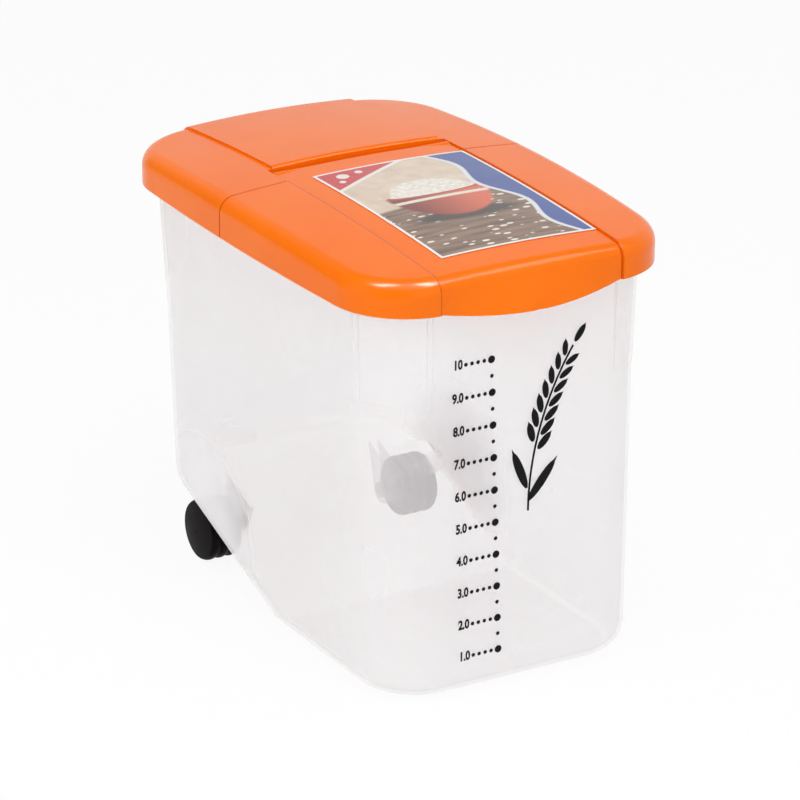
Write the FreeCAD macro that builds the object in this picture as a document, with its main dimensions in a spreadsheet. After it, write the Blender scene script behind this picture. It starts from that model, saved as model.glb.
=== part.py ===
"""Rice storage bin: translucent tapered bin on two rear wheels, with a lid whose front half is a hinged flap.

Frame: millimetres, +Z up, origin on the floor under the middle of the whole object. The pieces are
drawn about the lid's middle, and every piece is then moved back to that frame.
The wall with the printed scale faces -Y, the wheels are at the rear (+Y) and +X is to the right.
"""
import FreeCAD, Part
import Sketcher
import math
import os

doc = FreeCAD.newDocument("RiceBin")
sheet = doc.addObject("Spreadsheet::Sheet", "dim")

SIZES = [
    # Bin shell
    ("bin_height", 278.0, "floor to the flat top of the rim"),
    ("top_width", 208.4, "outside width at the rim"),
    ("top_length", 327.4, "outside length at the rim"),
    ("top_corner", 55.0, "corner radius at the rim"),
    ("base_width", 194.0, "outside width at the floor"),
    ("base_length", 312.0, "outside length at the floor, before the ramp is cut"),
    ("base_corner", 44.0, "corner radius at the floor"),
    ("base_forward", 8.0, "how far the base sits in front of the rim's middle"),
    ("wall", 2.2, "wall of the bin"),
    ("base_round", 16.0, "rounding of the base and ramp edges"),
    ("ramp_lead", 12.4, "where the ramp starts, in front of the lid's middle"),
    ("ramp_angle", 20.7, "slope of the ramp in degrees"),
    # Corner shoulders and rim
    ("shoulder_height", 196.0, "floor to the underside of the corner shoulders"),
    ("shoulder_foot", 0.5, "how far a shoulder stands out at its foot"),
    ("shoulder_step", 2.4, "how far a shoulder stands out at the rim"),
    ("shoulder_reach", 38.0, "length of a shoulder along each wall"),
    ("rim_reach", 3.5, "how far the rim stands out"),
    ("rim_round", 1.5, "rounding of the rim's outer top edge"),
    ("rim_lip", 9.0, "height of the rim's turned-down lip"),
    # Wheels, axle pins and what carries them
    ("wheel_radius", 21.0, "outside radius of a wheel"),
    ("wheel_width", 24.0, "width of a wheel"),
    ("wheel_back", 106.0, "axle behind the lid's middle"),
    ("wheel_track", 155.0, "middle of one wheel to the middle of the other"),
    ("tread_depth", 1.4, "depth of the grooves between the tread ribs"),
    ("wheel_dome", 1.5, "bulge of the outer face"),
    ("wheel_face", 4.0, "thickness of the outer face at the axle"),
    ("hub_radius", 8.0, "outside radius of the hub"),
    ("wheel_rim", 5.0, "thickness of the rim under the tread"),
    ("core_depth", 14.0, "depth of the hollow in the inner face"),
    ("arch_gap", 7.0, "wheel to the arch over it"),
    ("side_gap", 2.5, "wheel to the outer end of its well"),
    ("lug_wall", 3.0, "thickness of an axle lug"),
    ("lug_gap", 4.0, "space between a pair of lugs"),
    ("lug_round", 10.0, "radius of a lug round the axle"),
    ("lug_foot", 18.0, "half the length of a lug where it meets the ramp"),
    ("wheel_gap", 1.0, "wheel to the nearest lug"),
    ("axle_radius", 3.0, "radius of an axle pin"),
    ("axle_head", 5.5, "radius of the pin's head"),
    ("head_thick", 2.0, "thickness of the pin's head"),
    ("run_gap", 0.06, "radial clearance of a turning fit"),
    ("snap_depth", 0.5, "depth of the snap groove in the pin"),
    ("snap_width", 1.6, "width of the snap groove"),
    ("snap_back", 4.0, "snap groove behind the pin's tip"),
    ("pin_chamfer", 0.8, "chamfer at the pin's tip"),
    ("end_gap", 0.5, "pin's tip to the end of its bore"),
    # Lid
    ("lid_length", 345.0, "length of the lid over its skirt"),
    ("lid_width", 230.0, "width of the lid over its skirt"),
    ("lid_corner", 50.0, "corner radius of the lid"),
    ("side_bend", 2400.0, "radius of the bowed long sides"),
    ("end_bend", 1100.0, "radius of the bowed ends"),
    ("skirt_edge", 261.6, "floor to the lower edge of the skirt"),
    ("lid_crest", 293.3, "floor to the top of the crowned lid"),
    ("crown_along", 2000.0, "crown radius from front to rear"),
    ("crown_across", 1120.0, "crown radius from side to side"),
    ("lid_round", 11.0, "rounding of the lid's top edge"),
    ("lid_wall", 2.2, "wall of the lid"),
    ("seat_gap", 2.0, "rest rib to the outside of the rim"),
    ("panel_side", 4.0, "side of the raised rear panel in from the tongue's slot"),
    ("panel_rise", 1.5, "rear panel above the lid"),
    ("panel_proud", 0.4, "raised panel beyond the rear end of the lid"),
    ("panel_round", 3.0, "rounding of the rear panel's front edge"),
    ("panel_dip", 1.2, "flap's middle panel below the lid"),
    ("seam_back", 20.0, "seam between flap and rear lid, behind the lid's middle"),
    ("seam_gap", 1.2, "gap at that seam"),
    # Hinge of the flap
    ("hinge_back", 39.0, "hinge axis behind the lid's middle"),
    ("hinge_round", 5.0, "radius of the hinge nose on the flap's tongue"),
    ("hinge_gap", 2.0, "hinge nose to the rear lid"),
    ("hinge_sink", 0.8, "top of the nose below the tongue's middle"),
    ("tongue_gap", 0.8, "tongue to the rear lid at each side"),
    ("pivot_radius", 2.5, "radius of a pivot"),
    ("ear_wall", 3.5, "thickness of a pivot ear"),
    ("ear_round", 5.5, "radius of an ear round the pivot"),
    ("ear_foot", 10.0, "half the length of an ear under the lid"),
    # Finger lip and label
    ("lip_half", 64.0, "half length of the finger lip"),
    ("lip_reach", 6.4, "how far the lip stands out at its middle"),
    ("lip_drop", 5.0, "how far the lip hangs below the skirt at its middle"),
    ("lip_height", 16.0, "how far above the skirt's edge the lip starts to flare"),
    ("dimple_radius", 14.0, "radius of the ball that dishes the lip"),
    ("dimple_depth", 1.6, "depth of that dish"),
    ("label_width", 112.0, "width of the label"),
    ("label_length", 160.0, "length of the label"),
    ("label_front", 61.0, "middle of the label in front of the lid's middle"),
    ("label_side", 8.0, "middle of the label to the right of the lid's middle"),
    ("label_margin", 1.2, "label to the side of the tongue's panel"),
    ("label_thick", 0.2, "thickness of the label"),
    ("label_lift", 0.3, "glue under the label"),
    # Making
    ("over", 10.0, "how far cutting shapes run past what they cut"),
]

for row, (alias, value, note) in enumerate(SIZES, start=1):
    sheet.set(f"A{row}", note)
    sheet.set(f"B{row}", str(value))
    sheet.setAlias(f"B{row}", alias)
doc.recompute()

# Places worked out from the sizes, as expressions that any object can use
AXLE_Z = "dim.wheel_radius"
WHEEL_IN = "(dim.wheel_track / 2 - dim.wheel_width / 2)"
LUG_OUT = f"({WHEEL_IN} - dim.wheel_gap)"
LUG_IN = f"({LUG_OUT} - 2 * dim.lug_wall - dim.lug_gap)"
ARCH = "(dim.wheel_radius + dim.arch_gap)"
HUB_DEPTH = "(dim.wheel_width - dim.wheel_face)"
HINGE_TOP = ("(dim.lid_crest - dim.crown_along"
             " + sqrt((dim.crown_along - dim.panel_dip)^2 - dim.hinge_back^2))")
HINGE_Z = f"({HINGE_TOP} - dim.hinge_sink - dim.hinge_round)"
PANEL_Y = "(dim.hinge_back + dim.hinge_round + dim.hinge_gap)"
TONGUE_HALF = "(dim.label_side + dim.label_width / 2 + dim.label_margin)"
SLOT_HALF = f"({TONGUE_HALF} + dim.tongue_gap)"
PANEL_HALF = f"({SLOT_HALF} - dim.panel_side)"
SHOULDER_BASE = ("((dim.shoulder_step - dim.shoulder_foot) * dim.shoulder_height"
                 " / (dim.bin_height - dim.shoulder_height) - dim.shoulder_foot)")
FRAME_BACK = "((dim.lip_reach - dim.panel_proud) / 2)"
LID_FLOOR = "(dim.skirt_edge - dim.lip_drop - dim.over)"
LID_TOP = "(dim.lid_crest + dim.panel_rise + dim.over)"


def number(expression):
    """The value of an expression of sizes."""
    return float(sheet.evalExpression(str(expression)))


def bind(thing, **expressions):
    """Ties properties of an object to expressions; a double underscore stands for a dot."""
    for key, expression in expressions.items():
        thing.setExpression(key.replace("__", "."), str(expression))
    return thing


def arc_between(start, end, radius, side):
    """Arc from start to end whose bulge lies to the right (+1) or left (-1) of the way there."""
    chord = end - start
    middle = (start + end) * 0.5
    across = FreeCAD.Vector(chord.y, -chord.x, 0).normalize()
    depth = math.sqrt(radius ** 2 - (chord.Length / 2) ** 2)
    top = middle + across * (side * (radius - depth))
    return Part.Arc(start, top, end) if side > 0 else Part.Arc(end, top, start)


def draw(sketch, corners):
    """Draws a closed outline in a sketch, with every corner and arc radius tied to the sheet.

    A corner is (x, y), or (x, y, radius, side) where an arc leads to the next corner.
    """
    points = [FreeCAD.Vector(number(corner[0]), number(corner[1]), 0) for corner in corners]
    for index, corner in enumerate(corners):
        start, end = points[index], points[(index + 1) % len(points)]
        if len(corner) == 2:
            sketch.addGeometry(Part.LineSegment(start, end), False)
        else:
            sketch.addGeometry(arc_between(start, end, number(corner[2]), corner[3]), False)
    ends = []
    for index in range(len(corners)):
        edge = sketch.Geometry[index]
        forward = (edge.StartPoint - points[index]).Length < (edge.EndPoint - points[index]).Length
        ends.append((1, 2) if forward else (2, 1))
    for index, corner in enumerate(corners):
        follow = (index + 1) % len(corners)
        sketch.addConstraint(Sketcher.Constraint("Coincident", index, ends[index][1], follow, ends[follow][0]))
        for kind, expression in (("DistanceX", corner[0]), ("DistanceY", corner[1])):
            made = sketch.addConstraint(Sketcher.Constraint(kind, index, ends[index][0], number(expression)))
            sketch.setExpression(f"Constraints[{made}]", str(expression))
        if len(corner) > 2:
            made = sketch.addConstraint(Sketcher.Constraint("Radius", index, number(corner[2])))
            sketch.setExpression(f"Constraints[{made}]", str(corner[2]))
    return sketch


FLAT = FreeCAD.Rotation()
UPRIGHT_ALONG = FreeCAD.Rotation(FreeCAD.Vector(1, 1, 1), 120)
UPRIGHT_ACROSS = FreeCAD.Rotation(FreeCAD.Vector(1, 0, 0), 90)


def free_sketch(name, turn, corners, **places):
    """A sketch by itself: FLAT draws X,Y, UPRIGHT_ALONG draws Y,Z and UPRIGHT_ACROSS draws X,Z."""
    sketch = doc.addObject("Sketcher::SketchObject", name)
    sketch.Placement = FreeCAD.Placement(FreeCAD.Vector(), turn)
    draw(sketch, corners)
    return bind(sketch, **places)


def body_sketch(body, name, role, corners, height=0):
    """A sketch in a body, on one of the body's own planes moved along its normal by height."""
    sketch = body.newObject("Sketcher::SketchObject", name)
    plane = next(item for item in body.Origin.OriginFeatures if item.Role == role)
    sketch.AttachmentSupport = (plane, "")
    sketch.MapMode = "FlatFace"
    draw(sketch, corners)
    return bind(sketch, AttachmentOffset__Base__z=height)


def extrude(name, sketch, direction, length, symmetric=False):
    """A straight block of a sketch."""
    block = doc.addObject("Part::Extrusion", name)
    block.Base = sketch
    block.DirMode = "Custom"
    block.Dir = direction
    block.Solid = True
    block.Symmetric = symmetric
    return bind(block, LengthFwd=length)


def box(name, low, high):
    """A box between two corners given as expressions."""
    block = doc.addObject("Part::Box", name)
    for letter, size, start, end in zip("xyz", ("Length", "Width", "Height"), low, high):
        block.setExpression(f"Placement.Base.{letter}", str(start))
        block.setExpression(size, f"({end}) - ({start})")
    return block


def round_bar(name, radius, start, end, y, z):
    """A cylinder along X from start to end, at a height and depth."""
    bar = doc.addObject("Part::Cylinder", name)
    bar.Placement = FreeCAD.Placement(FreeCAD.Vector(), FreeCAD.Rotation(FreeCAD.Vector(0, 1, 0), 90))
    return bind(bar, Radius=radius, Height=f"({end}) - ({start})",
                Placement__Base__x=start, Placement__Base__y=y, Placement__Base__z=z)


def join(name, *pieces):
    """One shape of several that touch or overlap."""
    made = doc.addObject("Part::MultiFuse", name)
    made.Shapes = list(pieces)
    return made


def cut(name, base, *tools):
    """A shape less one or more tools."""
    made = doc.addObject("Part::Cut", name)
    made.Base = base
    made.Tool = tools[0] if len(tools) == 1 else join(f"{name}_tools", *tools)
    return made


def common(name, *pieces):
    """What several shapes have in common."""
    made = doc.addObject("Part::MultiCommon", name)
    made.Shapes = list(pieces)
    return made


def rounded(name, base, wanted, radius):
    """A body that rounds those edges of a shape for which wanted(edge) is true."""
    doc.recompute()
    body = doc.addObject("PartDesign::Body", name)
    body.BaseFeature = base
    doc.recompute()
    start = body.Tip
    edges = [f"Edge{index}" for index, edge in enumerate(start.Shape.Edges, start=1) if wanted(edge)]
    fillet = body.newObject("PartDesign::Fillet", f"{name}_fillet")
    fillet.Base = (start, edges)
    bind(fillet, Radius=radius)
    doc.recompute()
    return body


def rectangle(width, length, radius, forward=0):
    """Corners of a rounded rectangle, drawn counterclockwise."""
    half_x, half_y = f"({width}) / 2", f"({length}) / 2"
    rear, front = f"({half_y} - ({forward}))", f"(0 - {half_y} - ({forward}))"
    return [
        (f"-({half_x} - ({radius}))", front),
        (f"{half_x} - ({radius})", front, radius, 1),
        (half_x, f"{front} + ({radius})"),
        (half_x, f"{rear} - ({radius})", radius, 1),
        (f"{half_x} - ({radius})", rear),
        (f"-({half_x} - ({radius}))", rear, radius, 1),
        (f"-({half_x})", f"{rear} - ({radius})"),
        (f"-({half_x})", f"{front} + ({radius})", radius, 1),
    ]


# Bin shell

def bin_form(name, inset, foot=True, top_inset=None):
    """The bin's outer form, or the same form drawn in by inset, as one solid; top_inset is for the rim's end."""
    top_inset = inset if top_inset is None else top_inset
    body = doc.addObject("PartDesign::Body", name)
    base = body_sketch(body, f"{name}_base", "XY_Plane", rectangle(
        f"dim.base_width - 2 * ({inset})", f"dim.base_length - 2 * ({inset})",
        f"dim.base_corner - ({inset})", "dim.base_forward"), inset if foot else 0)
    top = body_sketch(body, f"{name}_top", "XY_Plane", rectangle(
        f"dim.top_width - 2 * ({top_inset})", f"dim.top_length - 2 * ({top_inset})",
        f"dim.top_corner - ({top_inset})"), "dim.bin_height")
    loft = body.newObject("PartDesign::AdditiveLoft", f"{name}_loft")
    loft.Profile = base
    loft.Sections = [top]
    loft.Ruled = True
    doc.recompute()
    if not foot:
        return body
    rise = f"(({inset}) / cos(dim.ramp_angle))"
    far = "(dim.base_length / 2 + dim.over)"
    ramp = body_sketch(body, f"{name}_ramp", "YZ_Plane", [
        (f"-dim.ramp_lead - ({rise} + dim.over) / tan(dim.ramp_angle)", "-dim.over"),
        (far, "-dim.over"),
        (far, f"({far} + dim.ramp_lead) * tan(dim.ramp_angle) + {rise}"),
    ], "dim.base_width")
    slope = body.newObject("PartDesign::Pocket", f"{name}_slope")
    slope.Profile = ramp
    bind(slope, Length="2 * dim.base_width")
    doc.recompute()
    under = [face for face in slope.Shape.Faces
             if isinstance(face.Surface, Part.Plane) and face.normalAt(0, 0).z < -0.5]
    edges = [f"Edge{index}" for index, edge in enumerate(slope.Shape.Edges, start=1)
             if any(edge.isSame(other) for face in under for other in face.Edges)]
    fillet = body.newObject("PartDesign::Fillet", f"{name}_round")
    fillet.Base = (slope, edges)
    bind(fillet, Radius=f"dim.base_round - ({inset})")
    doc.recompute()
    return body


def corner_zone(name, form, start, reach):
    """The four upper corners of a form, from a height up and over a length along each wall."""
    half_x, half_y = f"(dim.top_width / 2 - {reach})", f"(dim.top_length / 2 - {reach})"
    far_x, far_y = "(dim.top_width / 2 + dim.over)", "(dim.top_length / 2 + dim.over)"
    low = "(0 - dim.over)"
    high = "(dim.bin_height + dim.over)"
    below = box(f"{name}_below", (f"-{far_x}", f"-{far_y}", low), (far_x, far_y, start))
    middle = box(f"{name}_middle", (f"-{half_x}", f"-{far_y}", low), (half_x, far_y, high))
    across = box(f"{name}_across", (f"-{far_x}", f"-{half_y}", low), (far_x, half_y, high))
    return cut(name, form, below, middle, across)


def rim_block(name, reach, top):
    """A plain slab of the rim's outline, from the rim's lip up."""
    sketch = free_sketch(f"{name}_outline", FLAT, rectangle(
        f"dim.top_width + 2 * ({reach})", f"dim.top_length + 2 * ({reach})", f"dim.top_corner + ({reach})"),
        Placement__Base__z="dim.bin_height - dim.rim_lip")
    return extrude(name, sketch, FreeCAD.Vector(0, 0, 1), f"dim.rim_lip - ({top})")


def hanger(y, z, radius, foot, top, slope):
    """Side view of a lug or ear: round below at the pin, and spread towards what it hangs from."""
    return [
        (f"{y} - {foot}", f"{top} - {foot} * {slope}"),
        (f"{y} - {radius}", z, radius, 1),
        (y, f"{z} - {radius}", radius, 1),
        (f"{y} + {radius}", z),
        (f"{y} + {foot}", f"{top} + {foot} * {slope}"),
    ]


def make_bin():
    """The bin: shell, shoulders, rim, wheel arches and axle lugs in one moulding."""
    outer = bin_form("bin_outer", 0)
    inner = bin_form("bin_inner", "dim.wall")
    shoulders = corner_zone("shoulders", bin_form("shoulder_form", SHOULDER_BASE, False, "-dim.shoulder_step"),
                            "dim.shoulder_height", "dim.shoulder_reach")
    hollows = corner_zone("shoulder_hollows", bin_form("hollow_form", f"{SHOULDER_BASE} + dim.wall", False,
                                                       "dim.wall - dim.shoulder_step"),
                          "(dim.shoulder_height + dim.wall)", "(dim.shoulder_reach - dim.wall)")
    top = number("dim.bin_height") - number("dim.rim_lip") / 2
    rim = cut("rim", rounded("rim_edge", rim_block("rim_solid", "dim.rim_reach", 0),
                             lambda edge: edge.BoundBox.ZMin > top, "dim.rim_round"),
              rim_block("rim_under", "dim.rim_reach - dim.wall", "dim.wall"))
    ramp_z = "((dim.wheel_back + dim.ramp_lead) * tan(dim.ramp_angle) + dim.wall / 2)"
    lug = free_sketch("lug_view", UPRIGHT_ALONG, hanger(
        "dim.wheel_back", AXLE_Z, "dim.lug_round", "dim.lug_foot", ramp_z, "tan(dim.ramp_angle)"))
    lugs, arches, wells, bores = [], [], [], []
    far = "(dim.base_width / 2 + dim.over)"
    for side, sign in (("left", "-1"), ("right", "1")):
        for place, start in (("inner", LUG_IN), ("outer", f"({LUG_OUT} - dim.lug_wall)")):
            low = start if sign == "1" else f"(0 - {start} - dim.lug_wall)"
            block = extrude(f"lug_{side}_{place}", lug, FreeCAD.Vector(1, 0, 0), "dim.lug_wall")
            lugs.append(bind(block, Placement__Base__x=low))
        spans = {"arch": (f"({LUG_OUT} - dim.wall)", far), "well": (LUG_OUT, f"({WHEEL_IN} + dim.wheel_width + dim.side_gap)"),
                 "bore": (f"({LUG_IN} - dim.over)", f"({LUG_OUT} + dim.over)")}
        for kind, (near, away) in spans.items():
            low, high = (near, away) if sign == "1" else (f"(0 - {away})", f"(0 - {near})")
            radius = {"arch": f"{ARCH} + dim.wall", "well": ARCH, "bore": "dim.axle_radius + dim.run_gap"}[kind]
            bar = round_bar(f"{kind}_{side}", radius, low, high, "dim.wheel_back", AXLE_Z)
            {"arch": arches, "well": wells, "bore": bores}[kind].append(bar)
    solid = join("bin_solid", outer, shoulders, rim, *lugs)
    space = cut("bin_space", join("bin_cavity", inner, hollows), *arches)
    return cut("bin_body", solid, space, *wells, *bores)


# Lid

def lid_outline(sketch, inset):
    """Draws the lid's outline, drawn in by inset: four bowed sides with a tangent arc at each corner."""
    half_x, half_y = f"(dim.lid_width / 2 - ({inset}))", f"(dim.lid_length / 2 - ({inset}))"
    corner = f"(dim.lid_corner - ({inset}))"
    side, end = f"(dim.side_bend - ({inset}))", f"(dim.end_bend - ({inset}))"
    side_x, end_y = f"({half_x} - {side})", f"({half_y} - {end})"
    radius, long_arc, short_arc = number(corner), number(side), number(end)
    back_x, back_y = number(side_x), number(end_y)
    corner_y = number(half_y) - radius
    for _ in range(40):
        corner_x = back_x + math.sqrt((long_arc - radius) ** 2 - corner_y ** 2)
        corner_y = back_y + math.sqrt((short_arc - radius) ** 2 - corner_x ** 2)
    lean = math.atan2(corner_y, corner_x - back_x)
    turn = math.atan2(corner_y - back_y, corner_x)
    half_turn = math.pi / 2
    arcs = []
    for quarter, (sign_x, sign_y) in enumerate(((1, 1), (-1, 1), (-1, -1), (1, -1))):
        along = quarter % 2 == 0
        start = quarter * half_turn
        if along:
            arcs.append((sign_x * back_x, 0, long_arc, start - lean, start + lean))
            span = (start + lean, start + turn)
        else:
            spread = half_turn - turn
            arcs.append((0, sign_y * back_y, short_arc, start - spread, start + spread))
            span = (start + half_turn - turn, start + half_turn - lean)
        arcs.append((sign_x * corner_x, sign_y * corner_y, radius, *span))
    for x, y, size, first, last in arcs:
        circle = Part.Circle(FreeCAD.Vector(x, y, 0), FreeCAD.Vector(0, 0, 1), size)
        sketch.addGeometry(Part.ArcOfCircle(circle, first, last), False)
    centres = {0: (side_x, "0"), 2: ("0", end_y), 4: (f"0 - {side_x}", "0"), 6: ("0", f"0 - {end_y}")}
    for index in range(len(arcs)):
        follow = (index + 1) % len(arcs)
        sketch.addConstraint(Sketcher.Constraint("Tangent", index, 2, follow, 1))
        size = corner if index % 2 else (side if index % 4 == 0 else end)
        made = sketch.addConstraint(Sketcher.Constraint("Radius", index, number(size)))
        sketch.setExpression(f"Constraints[{made}]", size)
        for kind, place in zip(("DistanceX", "DistanceY"), centres.get(index, ())):
            made = sketch.addConstraint(Sketcher.Constraint(kind, index, 3, number(place)))
            sketch.setExpression(f"Constraints[{made}]", place)
    return sketch


def dome(name, rise):
    """Everything under the lid's crown, with the crown raised by rise."""
    reach = "(dim.lid_length / 2 + dim.over)"
    radius = f"(dim.crown_along + ({rise}))"
    edge = f"(dim.lid_crest - dim.crown_along + sqrt({radius}^2 - {reach}^2))"
    floor = f"({LID_FLOOR} - dim.over)"
    view = free_sketch(f"{name}_view", UPRIGHT_ALONG, [
        (f"-{reach}", floor), (reach, floor), (reach, edge, radius, 1), (f"-{reach}", edge)])
    solid = doc.addObject("Part::Revolution", name)
    solid.Source = view
    solid.Axis = FreeCAD.Vector(0, 1, 0)
    solid.Solid = True
    solid.Symmetric = True
    return bind(solid, Base__z="dim.lid_crest - dim.crown_across",
                Angle="2 * atan(dim.lid_width / dim.crown_across)")


def lid_form(name, inset, rise, low):
    """The lid as one solid from a height up: outline drawn in by inset, crown raised by rise."""
    sketch = doc.addObject("Sketcher::SketchObject", f"{name}_outline")
    bind(lid_outline(sketch, inset), Placement__Base__z=low)
    block = extrude(f"{name}_block", sketch, FreeCAD.Vector(0, 0, 1), f"{LID_TOP} - {low}")
    crowned = common(f"{name}_crowned", block, dome(f"{name}_dome", rise))
    top = (number("dim.skirt_edge") + number("dim.lid_crest")) / 2
    return rounded(name, crowned, lambda edge: edge.BoundBox.ZMin > top, f"dim.lid_round - ({inset})")


def margin(name, half, inset):
    """What lies outside the lid drawn in by inset all round, over a width of twice half."""
    far = "(dim.lid_length / 2 + dim.over)"
    zone = box(f"{name}_zone", (f"-{half}", f"-{far}", LID_FLOOR), (half, far, LID_TOP))
    return cut(name, zone, lid_form(f"{name}_form", inset, f"0 - {inset}", LID_FLOOR))


def rest_ring():
    """The rib under the lid that stands on the flat of the rim, before it is cut to the lid."""
    blocks = []
    for name, reach in (("ring_outside", "dim.rim_reach - dim.seat_gap"),
                        ("ring_inside", "dim.rim_reach - dim.seat_gap - dim.lid_wall")):
        sketch = free_sketch(f"{name}_outline", FLAT, rectangle(
            f"dim.top_width + 2 * ({reach})", f"dim.top_length + 2 * ({reach})",
            f"dim.top_corner + ({reach})"), Placement__Base__z="dim.bin_height")
        blocks.append(extrude(name, sketch, FreeCAD.Vector(0, 0, 1), f"{LID_TOP} - dim.bin_height"))
    return cut("rest_ring", *blocks)


FAR_X = "(dim.lid_width / 2 + dim.over)"
FAR_Y = "(dim.lid_length / 2 + dim.over)"


def make_rear_lid(outer, inner, ring):
    """The fixed rear half: a raised middle panel, a slot for the flap's tongue and ears for its pivots."""
    seam = "(dim.seam_back + dim.seam_gap / 2)"
    rear_zone = box("rear_zone", (f"-{FAR_X}", seam, LID_FLOOR), (FAR_X, FAR_Y, LID_TOP))
    slot = box("tongue_slot", (f"-{SLOT_HALF}", 0, LID_FLOOR), (SLOT_HALF, PANEL_Y, LID_TOP))
    low_part = cut("rear_low", common("rear_part", outer, rear_zone), slot)
    panel_zone = box("panel_zone", (f"-{PANEL_HALF}", PANEL_Y, LID_FLOOR), (PANEL_HALF, FAR_Y, LID_TOP))
    panel_block = common("panel_block", lid_form("panel_form", "(0 - dim.panel_proud)", "dim.panel_rise", "dim.skirt_edge"), panel_zone)
    front, top = number(PANEL_Y), number(HINGE_Z)
    panel = rounded("panel", panel_block, lambda edge: (
        abs(edge.BoundBox.YMin - front) + abs(edge.BoundBox.YMax - front) < number("dim.run_gap")
        and edge.BoundBox.ZMin > top), "dim.panel_round")
    solid = join("rear_solid", panel, low_part)
    hollow_half = f"({PANEL_HALF} - dim.lid_wall)"
    hollow = common("panel_hollow", lid_form("panel_inner", "(dim.lid_wall - dim.panel_proud)",
                                             "dim.panel_rise - dim.lid_wall", LID_FLOOR),
                    box("panel_hollow_zone", (f"-{hollow_half}", f"{PANEL_Y} + dim.lid_wall", LID_FLOOR),
                        (hollow_half, FAR_Y, LID_TOP)))
    shell = cut("rear_shell", cut("rear_open", solid, inner), hollow)
    step = common("panel_step", solid, box(
        "panel_step_zone", (f"-{SLOT_HALF}", PANEL_Y, f"{HINGE_Z} - dim.hinge_round"),
        (SLOT_HALF, f"{PANEL_Y} + dim.lid_wall", LID_TOP)))
    view = free_sketch("ear_view", UPRIGHT_ALONG, hanger(
        "dim.hinge_back", HINGE_Z, "dim.ear_round", "dim.ear_foot", "dim.lid_crest", "0"))
    ears, bores = [], []
    for side, low in (("left", f"(0 - {SLOT_HALF} - dim.ear_wall)"), ("right", SLOT_HALF)):
        block = bind(extrude(f"ear_block_{side}", view, FreeCAD.Vector(1, 0, 0), "dim.ear_wall"),
                     Placement__Base__x=low)
        ears.append(common(f"ear_{side}", block, outer))
        bores.append(round_bar(f"ear_bore_{side}", "dim.pivot_radius + dim.run_gap", f"{low} - dim.tongue_gap",
                               f"{low} + dim.ear_wall + dim.tongue_gap", "dim.hinge_back", HINGE_Z))
    ribs = common("rear_ribs", ring, solid)
    return cut("rear_lid", join("rear_whole", shell, step, ribs, *ears), *bores)


def make_lip():
    """The finger lip: the middle of the flap's front flares out and hangs down, most at its middle."""
    front, low = "(0 - dim.lid_length / 2 + dim.panel_dip)", "(dim.skirt_edge - dim.lip_drop)"
    top = "(dim.skirt_edge + dim.lip_height)"
    root = f"({front} + dim.lid_wall)"
    outlines = []
    for name, bow, height in (("lip_start", "dim.lid_wall", top),
                              ("lip_end", "(dim.lid_wall + dim.panel_dip + dim.lip_reach)", low)):
        outlines.append(free_sketch(name, FLAT, [
            ("-dim.lip_half", root, f"(dim.lip_half^2 + {bow}^2) / (2 * {bow})", 1), ("dim.lip_half", root)],
            Placement__Base__z=height))
    flare = doc.addObject("Part::Loft", "lip_flare")
    flare.Sections = outlines
    flare.Solid = True
    flare.Ruled = True
    smile = free_sketch("lip_smile", UPRIGHT_ACROSS, [
        ("-dim.lip_half", "dim.skirt_edge", "(dim.lip_half^2 + dim.lip_drop^2) / (2 * dim.lip_drop)", 1),
        ("dim.lip_half", "dim.skirt_edge"), ("dim.lip_half", top), ("-dim.lip_half", top)])
    return common("lip", flare, extrude("lip_wave", smile, FreeCAD.Vector(0, -1, 0), "dim.lid_length"))


def make_flap(outer, inner, ring):
    """The hinged front half: recessed middle panel, tongue with hinge nose and pivots, finger lip."""
    seam = "(dim.seam_back - dim.seam_gap / 2)"
    zone = join("flap_zone",
                box("flap_zone_front", (f"-{FAR_X}", f"-{FAR_Y}", LID_FLOOR), (FAR_X, seam, LID_TOP)),
                box("flap_zone_tongue", (f"-{TONGUE_HALF}", 0, LID_FLOOR), (TONGUE_HALF, "dim.hinge_back", LID_TOP)))
    solid = cut("flap_solid", common("flap_part", outer, zone), margin("flap_dip", TONGUE_HALF, "dim.panel_dip"))
    cavity = cut("flap_cavity", inner, margin("flap_floor", f"({SLOT_HALF} + dim.lid_wall)",
                                              "(dim.panel_dip + dim.lid_wall)"))
    shell = join("flap_shell", cut("flap_hollow", solid, cavity), common("flap_ribs", ring, solid), make_lip())
    dimple = bind(doc.addObject("Part::Sphere", "lip_dimple"), Radius="dim.dimple_radius",
                  Placement__Base__y="dim.dimple_depth - dim.lid_length / 2 - dim.lip_reach - dim.dimple_radius",
                  Placement__Base__z="dim.skirt_edge")
    panel = cut("flap_panel", shell, dimple)
    pivot_end = f"({SLOT_HALF} + dim.ear_wall)"
    nose = round_bar("hinge_nose", "dim.hinge_round", f"-{TONGUE_HALF}", TONGUE_HALF, "dim.hinge_back", HINGE_Z)
    pivots = round_bar("pivots", "dim.pivot_radius", f"-{pivot_end}", pivot_end, "dim.hinge_back", HINGE_Z)
    return join("front_flap", panel, nose, pivots)


def make_label():
    """The sticker that lies on the flap's middle panel and follows its crown."""
    zone = box("label_zone",
               ("dim.label_side - dim.label_width / 2", "-dim.label_front - dim.label_length / 2", LID_FLOOR),
               ("dim.label_side + dim.label_width / 2", "dim.label_length / 2 - dim.label_front", LID_TOP))
    film = cut("label_film", dome("label_top", "dim.label_lift + dim.label_thick - dim.panel_dip"),
               dome("label_bottom", "dim.label_lift - dim.panel_dip"))
    return common("top_label", zone, film)


# Wheels and axle pins

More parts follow.
